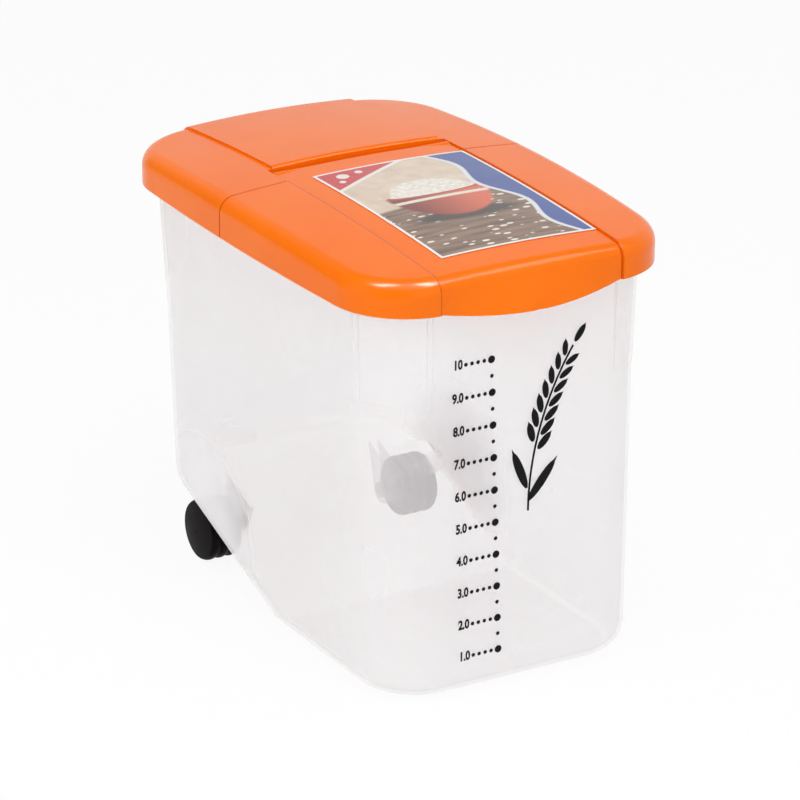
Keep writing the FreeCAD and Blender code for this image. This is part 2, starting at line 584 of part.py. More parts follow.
def turned(name, corners, place, mirrored):
    """A body turned about X from a half profile, facing +X, or -X when mirrored."""
    body = doc.addObject("PartDesign::Body", name)
    profile = body_sketch(body, f"{name}_profile", "XY_Plane", corners)
    spun = body.newObject("PartDesign::Revolution", f"{name}_spun")
    spun.Profile = profile
    spun.ReferenceAxis = (profile, ["H_Axis"])
    spun.Angle = 360
    turn = FreeCAD.Rotation(FreeCAD.Vector(0, 0, 1), 180 if mirrored else 0)
    body.Placement = FreeCAD.Placement(FreeCAD.Vector(), turn)
    return bind(body, Placement__Base__x=f"0 - {place}" if mirrored else place,
                Placement__Base__y=f"dim.wheel_back + {FRAME_BACK}", Placement__Base__z=AXLE_Z)


PIN_TIP = f"(dim.head_thick + 2 * dim.lug_wall + dim.lug_gap + dim.wheel_gap + {HUB_DEPTH} - dim.end_gap)"


def make_wheel(name, mirrored):
    """A wheel with a domed outer face, three tread ribs, a hollow back and a blind bore with a snap ridge."""
    bore = "(dim.axle_radius + dim.run_gap)"
    tread = "(dim.wheel_radius - dim.tread_depth)"
    inside = f"({tread} - dim.wheel_rim)"
    flank = "(dim.wheel_width - dim.wheel_dome)"
    rib = f"(({flank} / 6)^2 + dim.tread_depth^2) / (2 * dim.tread_depth)"
    dished = f"({tread}^2 + dim.wheel_dome^2) / (2 * dim.wheel_dome)"
    ridge = f"({HUB_DEPTH} - dim.end_gap - dim.snap_back)"
    ridge_half = "(dim.snap_width / 2 - 2 * dim.run_gap)"
    ridge_top = "(dim.axle_radius - dim.snap_depth + dim.run_gap)"
    ribs = [(f"{flank} * {count} / 3", tread, rib, -1) for count in range(3)]
    return turned(name, [
        (0, bore), (0, "dim.hub_radius"), ("dim.core_depth", "dim.hub_radius"), ("dim.core_depth", inside),
        (0, inside), *ribs, (flank, tread, dished, -1), ("dim.wheel_width", 0), (HUB_DEPTH, 0),
        (HUB_DEPTH, bore), (f"{ridge} + {ridge_half}", bore), (f"{ridge} + {ridge_half}", ridge_top),
        (f"{ridge} - {ridge_half}", ridge_top), (f"{ridge} - {ridge_half}", bore),
    ], WHEEL_IN, mirrored)


def make_axle(name, mirrored):
    """A headed pin with a snap groove near its tip."""
    groove = f"({PIN_TIP} - dim.snap_back)"
    deep = "(dim.axle_radius - dim.snap_depth)"
    return turned(name, [
        (0, 0), (0, "dim.axle_head"), ("dim.head_thick", "dim.axle_head"), ("dim.head_thick", "dim.axle_radius"),
        (f"{groove} - dim.snap_width / 2", "dim.axle_radius"), (f"{groove} - dim.snap_width / 2", deep),
        (f"{groove} + dim.snap_width / 2", deep), (f"{groove} + dim.snap_width / 2", "dim.axle_radius"),
        (f"{PIN_TIP} - dim.pin_chamfer", "dim.axle_radius"), (PIN_TIP, "dim.axle_radius - dim.pin_chamfer"),
        (PIN_TIP, 0),
    ], f"({LUG_IN} - dim.head_thick)", mirrored)


lid_outer = lid_form("lid_outer", 0, 0, "dim.skirt_edge")
lid_inner = lid_form("lid_inner", "dim.lid_wall", "0 - dim.lid_wall", LID_FLOOR)
lid_ring = rest_ring()
PARTS = [
    make_bin(),
    make_rear_lid(lid_outer, lid_inner, lid_ring),
    make_flap(lid_outer, lid_inner, lid_ring),
    make_label(),
    make_wheel("wheel_left", True),
    make_wheel("wheel_right", False),
    make_axle("axle_left", True),
    make_axle("axle_right", False),
]
for part in PARTS:
    if part.TypeId != "PartDesign::Body":
        bind(part, Placement__Base__y=FRAME_BACK)
doc.recompute()

# Every object is checked before any file is written
for item in doc.Objects:
    if "Invalid" in item.State or "Error" in item.State:
        raise RuntimeError(f"{item.Name} failed: {item.State}")
for part in PARTS:
    if part.Shape.isNull() or not part.Shape.isValid() or len(part.Shape.Solids) != 1:
        raise RuntimeError(f"{part.Label} is not one valid solid")

os.makedirs("parts", exist_ok=True)
for part in PARTS:
    part.Shape.exportStep(f"parts/{part.Label}.step")
    limits = part.Shape.optimalBoundingBox()
    print(f"{part.Label}: {part.Shape.Volume / 1000:.1f} cm3, X {limits.XMin:.1f} to {limits.XMax:.1f},"
          f" Y {limits.YMin:.1f} to {limits.YMax:.1f}, Z {limits.ZMin:.1f} to {limits.ZMax:.1f}")
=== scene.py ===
# %% [markdown]
# # A rolling rice bin
# A tall milky plastic bin on two small wheels, under an orange lid in two halves. The exact
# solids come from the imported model. This lesson gives them their finishes, prints the level
# scale and the sticker, and sets up a small white studio.

# %% Load the solids
import math

import bmesh
import bpy
from mathutils import Matrix, Vector


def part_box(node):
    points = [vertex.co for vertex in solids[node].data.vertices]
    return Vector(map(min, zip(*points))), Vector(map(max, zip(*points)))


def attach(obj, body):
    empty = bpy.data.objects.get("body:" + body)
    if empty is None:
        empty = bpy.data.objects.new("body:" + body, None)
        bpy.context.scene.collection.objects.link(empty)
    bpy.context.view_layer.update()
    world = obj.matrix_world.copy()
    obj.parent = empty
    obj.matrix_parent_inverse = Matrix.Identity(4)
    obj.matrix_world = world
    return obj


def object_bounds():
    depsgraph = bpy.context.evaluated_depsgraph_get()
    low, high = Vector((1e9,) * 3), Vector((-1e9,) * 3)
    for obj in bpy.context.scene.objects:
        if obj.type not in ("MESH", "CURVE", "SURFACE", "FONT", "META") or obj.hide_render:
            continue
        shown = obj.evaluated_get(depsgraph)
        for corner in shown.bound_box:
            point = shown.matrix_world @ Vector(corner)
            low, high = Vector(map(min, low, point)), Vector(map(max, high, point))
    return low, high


MM = 0.001
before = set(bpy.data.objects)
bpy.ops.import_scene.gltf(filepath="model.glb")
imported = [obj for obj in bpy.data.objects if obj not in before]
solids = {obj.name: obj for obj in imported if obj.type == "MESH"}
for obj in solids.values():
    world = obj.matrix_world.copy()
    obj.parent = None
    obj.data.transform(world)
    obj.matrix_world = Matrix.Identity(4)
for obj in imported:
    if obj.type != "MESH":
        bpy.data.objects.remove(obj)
cad_low, cad_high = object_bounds()


def sides(low, high):
    """The three sides of a box, in whole millimetres."""
    return [round((far - near) / MM) for near, far in zip(low, high)]


print("solids:", ", ".join(sorted(solids)))
print("size in mm:", sides(cad_low, cad_high))

# %% [markdown]
# ## The camera
# A product photograph is taken from far off with a long lens, so that the upright edges stay
# nearly parallel. The camera looks down at the bin's front left corner. It could be aimed with a
# Track To constraint, but that leaves no room for the small roll of a hand-held shot. So its
# direction is given by two angles, and the roll is a third.

# %% Place the camera
LOOK_TURN, LOOK_DOWN, LOOK_ROLL = (math.radians(a) for a in (30.59, 21.83, 0.32))
LOOK_AT = Vector((14.73, 16.70, 127.4)) * MM
LOOK_FROM = 2770.7 * MM
FOCAL_PIXELS, PHOTO_PIXELS, SENSOR = 4208, 800, 36

ahead = Vector((math.sin(LOOK_TURN) * math.cos(LOOK_DOWN),
                math.cos(LOOK_TURN) * math.cos(LOOK_DOWN), -math.sin(LOOK_DOWN)))
level = Vector((math.cos(LOOK_TURN), -math.sin(LOOK_TURN), 0))
upward = level.cross(ahead)
right = level * math.cos(LOOK_ROLL) + upward * math.sin(LOOK_ROLL)
up = upward * math.cos(LOOK_ROLL) - level * math.sin(LOOK_ROLL)
turn = Matrix((right, up, -ahead)).transposed()
bpy.ops.object.camera_add(location=LOOK_AT - ahead * LOOK_FROM, rotation=turn.to_euler())
camera = bpy.context.object
camera.name = "photo_camera"
camera.data.sensor_width = SENSOR
camera.data.lens = FOCAL_PIXELS / PHOTO_PIXELS * SENSOR
camera.data.clip_end = 20
bpy.context.scene.camera = camera
print("camera at", [round(v, 3) for v in camera.location], "lens", round(camera.data.lens, 1))

# %% [markdown]
# ## A small kit for finishes
# Every finish below is a tree of shader nodes. Built by hand, such a tree is dozens of boxes and
# wires. A few helpers keep it readable in code: one starts a material, one adds a node, sets its
# plain values and links what feeds it, and the others name the steps that come back.

# %% Helpers for nodes


def start_finish(name, **values):
    """A material with one Principled shader, its sockets set to plain values."""
    material = bpy.data.materials.new(name)
    material.use_nodes = True
    shader = material.node_tree.nodes["Principled BSDF"]
    for socket, value in values.items():
        shader.inputs[socket.replace("_", " ")].default_value = value
    return material, shader


def link(material, output, target):
    """Feeds one socket from another."""
    material.node_tree.links.new(output, target)


def feed(material, socket, value):
    """Gives a socket a plain value, or links it where the value is another node's output."""
    if isinstance(value, bpy.types.NodeSocket):
        link(material, value, socket)
    else:
        socket.default_value = value


def node(material, kind, *feeds, **settings):
    """A node of a kind; feeds are (input, value or output socket), settings its own choices."""
    made = material.node_tree.nodes.new("ShaderNode" + kind)
    for key, value in settings.items():
        setattr(made, key, value)
    for socket, value in feeds:
        feed(material, made.inputs[socket], value)
    return made


def sum_of(material, operation, first, second):
    """One number from two, by a Math node."""
    return node(material, "Math", (0, first), (1, second), operation=operation).outputs[0]


def plain(material, number):
    """A number without its sign."""
    return sum_of(material, "ABSOLUTE", number, 0)


def parts_of(material, vector):
    """The three numbers of a vector."""
    return node(material, "SeparateXYZ", ("Vector", vector)).outputs


def place_on(material):
    """The place on the piece, in metres from the origin."""
    return node(material, "TexCoord").outputs["Object"]


def facing(material, axis):
    """How squarely a face looks along an axis, either way, from zero to one."""
    normal = node(material, "NewGeometry").outputs["True Normal"]
    return plain(material, parts_of(material, normal)[axis])


# %% Helpers for patterns and layers


def grain(material, size, stretch=(1, 1, 1), detail=3.0):
    """A soft cloudy pattern whose blotches are about size metres wide, stretched per axis."""
    place = node(material, "Mapping", ("Vector", place_on(material)), ("Scale", stretch))
    return node(material, "TexNoise", ("Vector", place.outputs["Vector"]), ("Scale", 1 / size),
                ("Detail", detail), ("Roughness", 0.5)).outputs["Fac"]


def between(material, mask, low, high, first=0.3, last=0.7, curve="LINEAR"):
    """Turns a pattern that runs from first to last into numbers from low to high."""
    return node(material, "MapRange", ("Value", mask), ("From Min", first), ("From Max", last),
                ("To Min", low), ("To Max", high), interpolation_type=curve).outputs["Result"]


def blend(material, mask, first, second):
    """Mixes two colours by a mask."""
    mixed = node(material, "Mix", data_type="RGBA")
    for index, value in ((0, mask), (6, first), (7, second)):
        feed(material, mixed.inputs[index], value)
    return mixed.outputs[2]


def mottle(material, pattern, first, second):
    """Two colours that run into each other over a pattern."""
    return blend(material, between(material, pattern, 0, 1), first, second)


def bumps(material, shader, *layers):
    """Stacks bump layers, each a pattern and its depth in metres, onto a shader."""
    normal = None
    for pattern, depth in layers:
        bump = node(material, "Bump", ("Height", pattern), ("Distance", depth), ("Strength", 1.0))
        if normal is not None:
            link(material, normal, bump.inputs["Normal"])
        normal = bump.outputs["Normal"]
    link(material, normal, shader.inputs["Normal"])


def wear(material, *names):
    """Gives solids a finish in all their material slots."""
    for name in names:
        solids[name].data.materials.clear()
        solids[name].data.materials.append(material)
    print(material.name, "on", ", ".join(names))


# %% [markdown]
# ## The milky bin
# Natural polypropylene is neither clear nor white: part of the light goes straight through, so
# the wheels show as pale shadows, and part is scattered, so the wall looks like thin milk. A
# glass shader would bend the view and needs thick walls. These are thin, so the shader is a
# bluish white one, and its alpha, set in the next cell, lets most of the light pass. The plastic
# flowed upwards in the mould, so its fine streaks are drawn out along the height.

# %% Colour and gloss of the bin
MILK_DIM, MILK_BRIGHT = (0.952, 0.950, 0.968, 1), (0.976, 0.974, 0.990, 1)
milky, milky_shader = start_finish("milky_plastic", IOR=1.49, Specular_IOR_Level=0.6)
flow = grain(milky, 50 * MM, stretch=(1, 1, 0.12))
cloud = grain(milky, 80 * MM)
link(milky, mottle(milky, cloud, MILK_DIM, MILK_BRIGHT), milky_shader.inputs["Base Color"])
link(milky, between(milky, flow, 0.16, 0.26), milky_shader.inputs["Roughness"])
bumps(milky, milky_shader, (flow, 0.05 * MM), (grain(milky, 1.2 * MM), 0.006 * MM))
wear(milky, "bin_body")

# %% [markdown]
# The milk is how much of the light one face keeps. A wall keeps a quarter. Beside the wheels the
# moulding is thicker, so a round patch there is milkier. The ramp is a little clearer than the
# walls and the level floor is not: the shader tells them by how far a face looks up.

# %% Milk of the bin
THIN_MILK, RAMP_MILK, FLOOR_MILK, THICK_MILK = 0.25, 0.21, 0.26, 0.68
RAMP_FACING, FLOOR_FACING, MILK_DRIFT = (0.7, 0.9), (0.965, 0.985), 0.02
wheel_low, wheel_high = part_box("wheel_right")
HUB = (wheel_low + wheel_high) / 2
PATCH_MIDDLE = (98 * MM, HUB.y - 30 * MM, HUB.z + 16 * MM)
PATCH_DEEP, PATCH_NEAR, PATCH_FAR = 0.3, 20 * MM, 76 * MM

across, along, height = parts_of(milky, place_on(milky))
mirrored = node(milky, "CombineXYZ", ("X", plain(milky, across)), ("Y", along), ("Z", height))
patch = node(milky, "Mapping", ("Vector", mirrored.outputs["Vector"]), ("Location", PATCH_MIDDLE),
             ("Scale", (PATCH_DEEP, 1, 1)), vector_type="TEXTURE").outputs["Vector"]
reach = node(milky, "VectorMath", (0, patch), operation="LENGTH").outputs["Value"]
milk = between(milky, reach, THICK_MILK, THIN_MILK, PATCH_NEAR, PATCH_FAR, curve="SMOOTHSTEP")
looks_up = facing(milky, "Z")
ramp = between(milky, looks_up, THICK_MILK, RAMP_MILK, *RAMP_FACING)
ground = between(milky, looks_up, 0, FLOOR_MILK, *FLOOR_FACING)
milk = sum_of(milky, "MAXIMUM", sum_of(milky, "MINIMUM", milk, ramp), ground)
milk = sum_of(milky, "ADD", milk, between(milky, cloud, -MILK_DRIFT, MILK_DRIFT))
link(milky, milk, milky_shader.inputs["Alpha"])
print("milkier patch at", [round(v / MM) for v in PATCH_MIDDLE], "mm")

# %% [markdown]
# ## The orange lid
# The lid is glossy moulded plastic. Its colour hardly changes, but its gloss does: a faint
# ripple from the mould, and a fine skin that softens the reflections of the lamps. At both
# sides of the flap's middle panel the mould leaves a fine crease along the step. It is too fine
# to cut, so the shader draws it as a little dip in the bump, with painted shade: a deeper orange
# that stands for the shade falling in the crease.

# %% Crease of the lid and its painted shade
orange, orange_shader = start_finish("orange_plastic", IOR=1.45, Specular_IOR_Level=0.20)
film_low, film_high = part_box("top_label")
STEP_GAP, STEP_FACING, CREASE_WIDE = 1.2 * MM, (0.4, 0.7), 0.8 * MM
STEP_X, CREASE_END = film_high.x + STEP_GAP, film_high.y

across, along = parts_of(orange, place_on(orange))[:2]
aside = plain(orange, sum_of(orange, "SUBTRACT", plain(orange, across), STEP_X))
# The crease mask: a dip in the bump, and the place where painted shade darkens the colour.
crease_and_shade = between(orange, aside, 1, 0, 0.2 * CREASE_WIDE, CREASE_WIDE)
before_hinge = between(orange, along, 1, 0, CREASE_END, CREASE_END + MM)
off_step = between(orange, facing(orange, "X"), 1, 0, *STEP_FACING)
for limit in (before_hinge, off_step):
    crease_and_shade = sum_of(orange, "MULTIPLY", crease_and_shade, limit)
print("crease at", round(STEP_X / MM, 1), "mm on both sides")

# %% Finish of the lid, with painted shade in the crease
DEEP_ORANGE, LIGHT_ORANGE = (0.885, 0.158, 0.001, 1), (0.915, 0.174, 0.002, 1)
# Painted shade: a darker orange for the shade that falls in the crease.
CREASE_SHADE_ORANGE = (0.60, 0.080, 0.0, 1)
skin = mottle(orange, grain(orange, 60 * MM), DEEP_ORANGE, LIGHT_ORANGE)
# The skin colour, with painted shade laid into the crease.
link(orange, blend(orange, crease_and_shade, skin, CREASE_SHADE_ORANGE), orange_shader.inputs["Base Color"])
link(orange, between(orange, grain(orange, 20 * MM), 0.17, 0.25),
     orange_shader.inputs["Roughness"])
bumps(orange, orange_shader, (grain(orange, 30 * MM, detail=1), 0.06 * MM),
      (grain(orange, 0.9 * MM), 0.006 * MM), (sum_of(orange, "SUBTRACT", 1, crease_and_shade), 0.3 * MM))
wear(orange, "rear_lid", "front_flap")

# %% [markdown]
# ## Wheels and pins
# The wheels are black plastic that has rolled over kitchen floors: dust sits in blotches, and
# where it sits the surface is duller. It could be painted on, but one noise pattern drives both
# the colour and the gloss, so that they agree. The pins are pale plastic that light enters.

# %% Finish of the wheels and pins
black, black_shader = start_finish("black_plastic", IOR=1.45, Specular_IOR_Level=0.04)
dust = grain(black, 6 * MM, detail=6)
link(black, mottle(black, dust, (0.003, 0.002, 0.003, 1), (0.009, 0.006, 0.008, 1)),
     black_shader.inputs["Base Color"])
link(black, between(black, dust, 0.34, 0.5), black_shader.inputs["Roughness"])
bumps(black, black_shader, (grain(black, 0.8 * MM), 0.02 * MM))
wear(black, "wheel_left", "wheel_right")

pale, pale_shader = start_finish("pin_plastic", IOR=1.48, Transmission_Weight=0.25)
link(pale, blend(pale, grain(pale, 4 * MM), (0.86, 0.85, 0.85, 1), (0.92, 0.91, 0.91, 1)),
     pale_shader.inputs["Base Color"])
link(pale, between(pale, grain(pale, 2 * MM), 0.3, 0.45), pale_shader.inputs["Roughness"])
wear(pale, "axle_left", "axle_right")

# %% [markdown]
# ## The sticker
# The sticker is glossy printed film. Its picture could be cut from coloured pieces, but ink has
# no thickness, so the shader draws it: each shape is a mask worked out from the place on the
# film in millimetres, and the colours are laid over each other in printing order.

# %% Helpers for the picture
film, film_shader = start_finish("label_print", IOR=1.5)
FILM_MIDDLE = (film_low + film_high) / 2
FILM_HALF = (film_high - film_low) / 2 / MM

sheet_place = node(film, "VectorMath", (0, place_on(film)), (1, (FILM_MIDDLE.x, FILM_MIDDLE.y, 0)),
                   operation="SUBTRACT").outputs["Vector"]
sheet_place = node(film, "VectorMath", (0, sheet_place), (1, (1 / MM, 1 / MM, 0)),
                   operation="MULTIPLY").outputs["Vector"]


def seat(middle, lean, size=(1, 1)):
    """The place on the film as seen from a middle, turned by degrees and measured in a size."""
    return node(film, "Mapping", ("Vector", sheet_place), ("Location", (*middle, 0)),
                ("Rotation", (0, 0, math.radians(lean))), ("Scale", (*size, 1)),
                vector_type="TEXTURE").outputs["Vector"]


def oval(middle, radii, soft=0.04):
    """One inside an oval on the film, zero outside."""
    away = node(film, "VectorMath", (0, seat(middle, 0, radii)), operation="LENGTH")
    return between(film, away.outputs["Value"], 1, 0, 1 - soft, 1 + soft)


def beyond(middle, lean, sway=0, wave=60, soft=0.5):
    """One on the far side of a line, or of a wave where it sways, zero on the near side."""
    parts = parts_of(film, seat(middle, lean))
    height = parts["Y"]
    if sway:
        swing = sum_of(film, "SINE", sum_of(film, "MULTIPLY", parts["X"], 2 * math.pi / wave), 0)
        height = sum_of(film, "SUBTRACT", height, sum_of(film, "MULTIPLY", swing, sway))
    return between(film, height, 0, 1, -soft, soft)


def both(first, second):
    """Where two masks meet."""
    return sum_of(film, "MULTIPLY", first, second)


print("film is", [round(2 * half, 1) for half in FILM_HALF[:2]], "mm")

# %% [markdown]
# The picture is a bowl of rice on a brown table before a pale wall, with spilt grains, a blue
# wave along one long edge and a red corner. First come the grounds: wall, table and rice are
# noise in two colours each, and the spilt grains are the cells of a Voronoi pattern.

# %% Grounds of the picture
wall = mottle(film, grain(film, 12 * MM, detail=5), (0.60, 0.47, 0.36, 1), (0.72, 0.60, 0.48, 1))
table = mottle(film, grain(film, 10 * MM, stretch=(0.25, 2.2, 1), detail=5),
               (0.13, 0.075, 0.050, 1), (0.30, 0.19, 0.13, 1))
heap = mottle(film, grain(film, 4 * MM, stretch=(1, 2, 1)),
              (0.62, 0.56, 0.48, 1), (0.90, 0.86, 0.80, 1))
glaze = blend(film, beyond((-6, 0), -90, soft=22), (0.20, 0.022, 0.014, 1), (0.66, 0.13, 0.06, 1))

spots = node(film, "Mapping", ("Vector", sheet_place), ("Rotation", (0, 0, math.radians(34))),
             ("Scale", (0.10, 0.22, 1)))
seeds = node(film, "TexVoronoi", ("Vector", spots.outputs["Vector"]), ("Scale", 1.0),
             ("Randomness", 0.85))
spilt = both(between(film, seeds.outputs["Distance"], 1, 0, 0.24, 0.30), beyond((0, -2), 186))
print("grounds: wall, table, rice, glaze and spilt grains")

# %% Picture on the sticker
SHADOW, SPILT_RICE, BAND, BOWL_EDGE = ((0.05, 0.03, 0.025, 1), (0.80, 0.73, 0.62, 1),
                                       (0.75, 0.68, 0.58, 1), (0.42, 0.060, 0.030, 1))
FOAM, BLUE, PALE, RED = ((0.70, 0.70, 0.72, 1), (0.035, 0.075, 0.30, 1),
                         (0.78, 0.74, 0.70, 1), (0.55, 0.025, 0.028, 1))
WAVE = {"lean": -84, "sway": 5, "wave": 74}

bowl = both(oval((-4, 16), (35, 42)), beyond((0, 15), 180))
belt = both(bowl, both(beyond((0, 8), 180), beyond((0, 4), 0)))
layers = [
    (beyond((0, 4), 186, soft=1.5), table), (spilt, SPILT_RICE),
    (oval((-4, -25), (37, 8), soft=0.2), SHADOW), (oval((-4, 17), (29, 22)), heap),
    (bowl, glaze), (belt, BAND),
    (oval((-4, 16), (35, 5)), BOWL_EDGE), (oval((-4, 18), (31, 5.5)), heap),
    (beyond((34.5, 0), **WAVE), FOAM), (beyond((38, 0), **WAVE), BLUE),
    (beyond((-28, 58), 28), PALE), (beyond((-29, 61), 28), RED),
]
for middle, size in (((-40, 69), 4.2), ((-27, 71.5), 2.6), ((-45, 60), 2.2)):
    layers.append((oval(middle, (size, size), soft=0.12), PALE))
picture = wall
for mask, colour in layers:
    picture = blend(film, mask, picture, colour)
print("picture of", len(layers), "layers")

# %% [markdown]
# A white border runs round the picture. The film itself is smooth, but the glue under it lies
# unevenly, so a wide shallow bump makes its reflections swim a little.

# %% Finish of the sticker
BORDER, BORDER_SOFT, BORDER_WHITE = 1.8, 0.3, (0.86, 0.83, 0.82, 1)


def within(axis, half):
    """One up to the border along an axis of the film, zero in the border."""
    edge = half - BORDER
    out = plain(film, parts_of(film, sheet_place)[axis])
    return between(film, out, 1, 0, edge - BORDER_SOFT, edge + BORDER_SOFT)


field = both(within("X", FILM_HALF.x), within("Y", FILM_HALF.y))
link(film, blend(film, field, BORDER_WHITE, picture), film_shader.inputs["Base Color"])
link(film, between(film, grain(film, 15 * MM), 0.16, 0.28), film_shader.inputs["Roughness"])
bumps(film, film_shader, (grain(film, 25 * MM, detail=1), 0.12 * MM),
      (grain(film, 3 * MM), 0.012 * MM))
wear(film, "top_label")

# %% [markdown]
# ## The level scale
# The scale is black ink printed on the front wall: a column of dots, four small dots and a
# number for every kilogram of rice. A mask in the bin's finish could draw dots, but not numbers,
# so the ink is modelled as thin shapes. Each is drawn flat before the wall, pressed onto it by a
# Shrinkwrap modifier, and given a tenth of a millimetre of thickness.

# %% Ink
ink, ink_shader = start_finish("black_ink", IOR=1.45, Specular_IOR_Level=0.1)
speck = grain(ink, 1.6 * MM, detail=4)
link(ink, mottle(ink, speck, (0.003, 0.003, 0.004, 1), (0.009, 0.009, 0.011, 1)),
     ink_shader.inputs["Base Color"])
link(ink, between(ink, speck, 0.32, 0.5), ink_shader.inputs["Roughness"])
print("ink:", ink.name)

# %% Helpers for printing
INK_PROUD, INK_THICK = 0.06 * MM, 0.10 * MM
DRAW_Y = cad_low[1] - 20 * MM
UPRIGHT = (math.radians(90), 0, 0)


def on_wall(across, height):
    """The point of the drawing sheet before the wall at a place in millimetres."""
    return Vector((across * MM, DRAW_Y, height * MM))


def settle():
    """Puts the place of the new piece into its mesh, and gives the piece back."""
    bpy.ops.object.transform_apply(location=True, rotation=True, scale=True)
    return bpy.context.object


def print_on_wall(name, pieces):
    """Joins flat drawings, presses them onto the bin's front wall and gives them the ink."""
    bpy.ops.object.select_all(action="DESELECT")
    for piece in pieces:
        piece.select_set(True)
    bpy.context.view_layer.objects.active = pieces[0]
    bpy.ops.object.join()
    piece = bpy.context.object
    piece.name = piece.data.name = name
    press = piece.modifiers.new("press", "SHRINKWRAP")
    press.target = solids["bin_body"]
    press.wrap_method, press.wrap_mode = "PROJECT", "ON_SURFACE"
    press.use_project_y, press.use_positive_direction = True, True
    press.offset = INK_PROUD
    bpy.ops.object.modifier_apply(modifier=press.name)
    coat = piece.modifiers.new("coat", "SOLIDIFY")
    coat.thickness, coat.offset = INK_THICK, -1
    bpy.ops.object.modifier_apply(modifier=coat.name)
    piece.data.materials.clear()
    piece.data.materials.append(ink)
    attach(piece, "bin")
    print(name, "has", len(piece.data.polygons), "faces, y from",
          [round(end(v.co.y for v in piece.data.vertices) / MM, 2) for end in (min, max)])


# %% Dots of the scale
FIRST_MARK, MARK_STEP, MARKS = 26.8, 21.9, 10
COLUMN_FOOT, COLUMN_LEAN = -17.5, -7.8 / 197.1
BIG_DOT, SMALL_DOT, DOT_CORNERS = 2.5, 1.3, 28
ROW_DOTS = (5.2, 9.6, 14.0, 18.3)
mark_heights = [FIRST_MARK + mark * MARK_STEP for mark in range(MARKS)]


def column(height):
    """Where the leaning column of dots is at a height, in millimetres."""
    return COLUMN_FOOT + COLUMN_LEAN * (height - FIRST_MARK)


def dot(across, height, radius):
    """A round dot on the drawing sheet."""
    bpy.ops.object.select_all(action="DESELECT")
    bpy.ops.mesh.primitive_circle_add(vertices=DOT_CORNERS, radius=radius * MM, fill_type="NGON",
                                      location=on_wall(across, height), rotation=UPRIGHT)
    return settle()


dots = []
for height in mark_heights:
    dots.append(dot(column(height), height, BIG_DOT))
    dots += [dot(column(height) - gap, height, SMALL_DOT) for gap in ROW_DOTS]
for height in mark_heights[:-1]:
    halfway = height + MARK_STEP / 2
    dots.append(dot(column(halfway), halfway, SMALL_DOT))
print_on_wall("scale_dots", dots)

# %% [markdown]
# The numbers are text objects in Blender's own font, made narrow by a scale and bold by an
# offset of their outline. They could stay text, but a Shrinkwrap needs a mesh, so each is
# converted. The curves are coarse on purpose: with finer ones the bold outlines cross themselves.

# %% Numbers of the scale
NUMBER_GAP, NUMBER_LIFT = 20.7, 0.4
NUMBER_SIZE, NUMBER_SLIM, NUMBER_BOLD, NUMBER_STEPS = 8.6, 0.76, 0.35, 3


def number(text, across, height):
    """A bold, narrow number that ends at a place, with its middle at a height."""
    bpy.ops.object.select_all(action="DESELECT")
    bpy.ops.object.text_add(location=on_wall(across, height), rotation=UPRIGHT)
    words = bpy.context.object
    words.data.body = text
    words.data.size = NUMBER_SIZE * MM
    words.data.offset = NUMBER_BOLD * MM
    words.data.resolution_u = NUMBER_STEPS
    words.data.align_x, words.data.align_y = "RIGHT", "CENTER"
    words.scale.x = NUMBER_SLIM
    bpy.ops.object.convert(target="MESH")
    return settle()


texts = [f"{kilos}.0" for kilos in range(1, MARKS)] + [str(MARKS)]
print_on_wall("scale_numbers", [number(text, column(height) - NUMBER_GAP, height + NUMBER_LIFT)
                                for text, height in zip(texts, mark_heights)])

# %% [markdown]
# ## The rice ear
# Beside the scale a plain sign shows what the bin is for: an ear of rice. The stem could be a
# curve with a bevel, but a flat print has no round section. So it is an edge that is spun about a
# far centre.

# %% Stem of the ear
STEM_FOOT, STEM_BEND, STEM_SWEEP = (3.0, 118.0), 190.0, 33.0
STEM_WIDE, STEM_STEPS = 1.5, 28
TOUCH = 0.01


def along_stem(share, aside=0.0):
    """A point of the sheet at a share of the stem's length, and aside of it to the right."""
    swept = math.radians(STEM_SWEEP * share)
    span = STEM_BEND - aside
    return on_wall(STEM_FOOT[0] + STEM_BEND - span * math.cos(swept),
                   STEM_FOOT[1] + span * math.sin(swept))


def pick(piece, wanted):
    """Selects, in edit mode, the vertices that a test picks out."""
    shape = bmesh.from_edit_mesh(piece.data)
    for vertex in shape.verts:
        vertex.select = wanted(vertex.co)
    shape.select_flush_mode()
    bmesh.update_edit_mesh(piece.data)


bpy.ops.object.select_all(action="DESELECT")
bpy.ops.mesh.primitive_plane_add(size=STEM_WIDE * MM, location=along_stem(0), rotation=UPRIGHT)
stem = settle()
stem_top = max(v.co.z for v in stem.data.vertices)
bpy.ops.object.mode_set(mode="EDIT")
bpy.ops.mesh.select_mode(type="VERT")
pick(stem, lambda co: co.z > stem_top - TOUCH * MM)
bpy.ops.mesh.spin(steps=STEM_STEPS, angle=-math.radians(STEM_SWEEP), axis=(0, 1, 0),
                  center=on_wall(STEM_FOOT[0] + STEM_BEND, STEM_FOOT[1]))
bpy.ops.mesh.select_all(action="SELECT")
bpy.ops.mesh.remove_doubles(threshold=0.001 * MM)
bpy.ops.object.mode_set(mode="OBJECT")
print("stem ends at", [round(max(v.co[i] for v in stem.data.vertices) / MM, 1) for i in (0, 2)])

# %% [markdown]
# One grain is a circle, narrowed and drawn out to a tip in edit mode. The others, and the two
# leaves, are copies of it with meshes of their own, set along the stem and leaning outwards. An
# Array modifier would be quicker, but it can't make them smaller towards the end.

# %% Grains of the ear
GRAIN_LONG, GRAIN_SLIM, GRAIN_TIP, GRAIN_CORNERS = 6.6, 0.40, 1.6, 22

